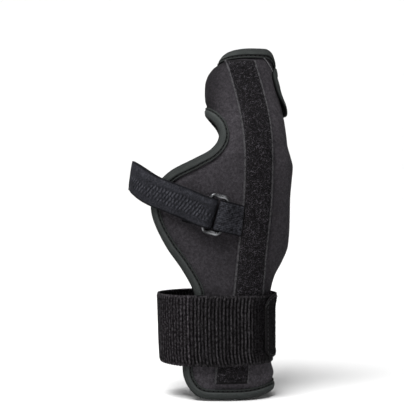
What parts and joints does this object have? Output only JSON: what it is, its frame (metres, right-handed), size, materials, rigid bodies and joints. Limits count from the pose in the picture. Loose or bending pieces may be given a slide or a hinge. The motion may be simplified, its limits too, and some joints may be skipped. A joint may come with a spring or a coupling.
{
  "type": "boxer fracture splint",
  "caption": "Right-hand boxer fracture splint: padded ulnar gutter with bound edges, finger sleeve, stay cover, hand strap on a ring and a wide ribbed wrist strap.",
  "frame": {"origin": "on the forearm's axis, inside the wrist strap at about its mid height", "axes": "+Z towards the fingertips, -Y out of the back of the hand, +X to the little finger's side"},
  "size_m": [0.1078, 0.0596, 0.2279],
  "materials": {
    "shell_fabric": "matte",
    "binding_tape": "satin",
    "loop_pile": "matte",
    "webbing": "matte",
    "elastic": "matte",
    "hook_pile": "matte",
    "ring_plastic": "gloss"
  },
  "bodies": {
    "root": {"shell": "shell_fabric", "edge_binding": "binding_tape", "top_binding": "binding_tape", "stay_cover": "loop_pile", "ring_tab": "webbing", "ring": "ring_plastic", "hand_strap": "webbing", "wrist_strap": "elastic", "wrist_tab": "hook_pile", "finger_flap": "shell_fabric", "flap_binding": "binding_tape"}
  },
  "joints": []
}
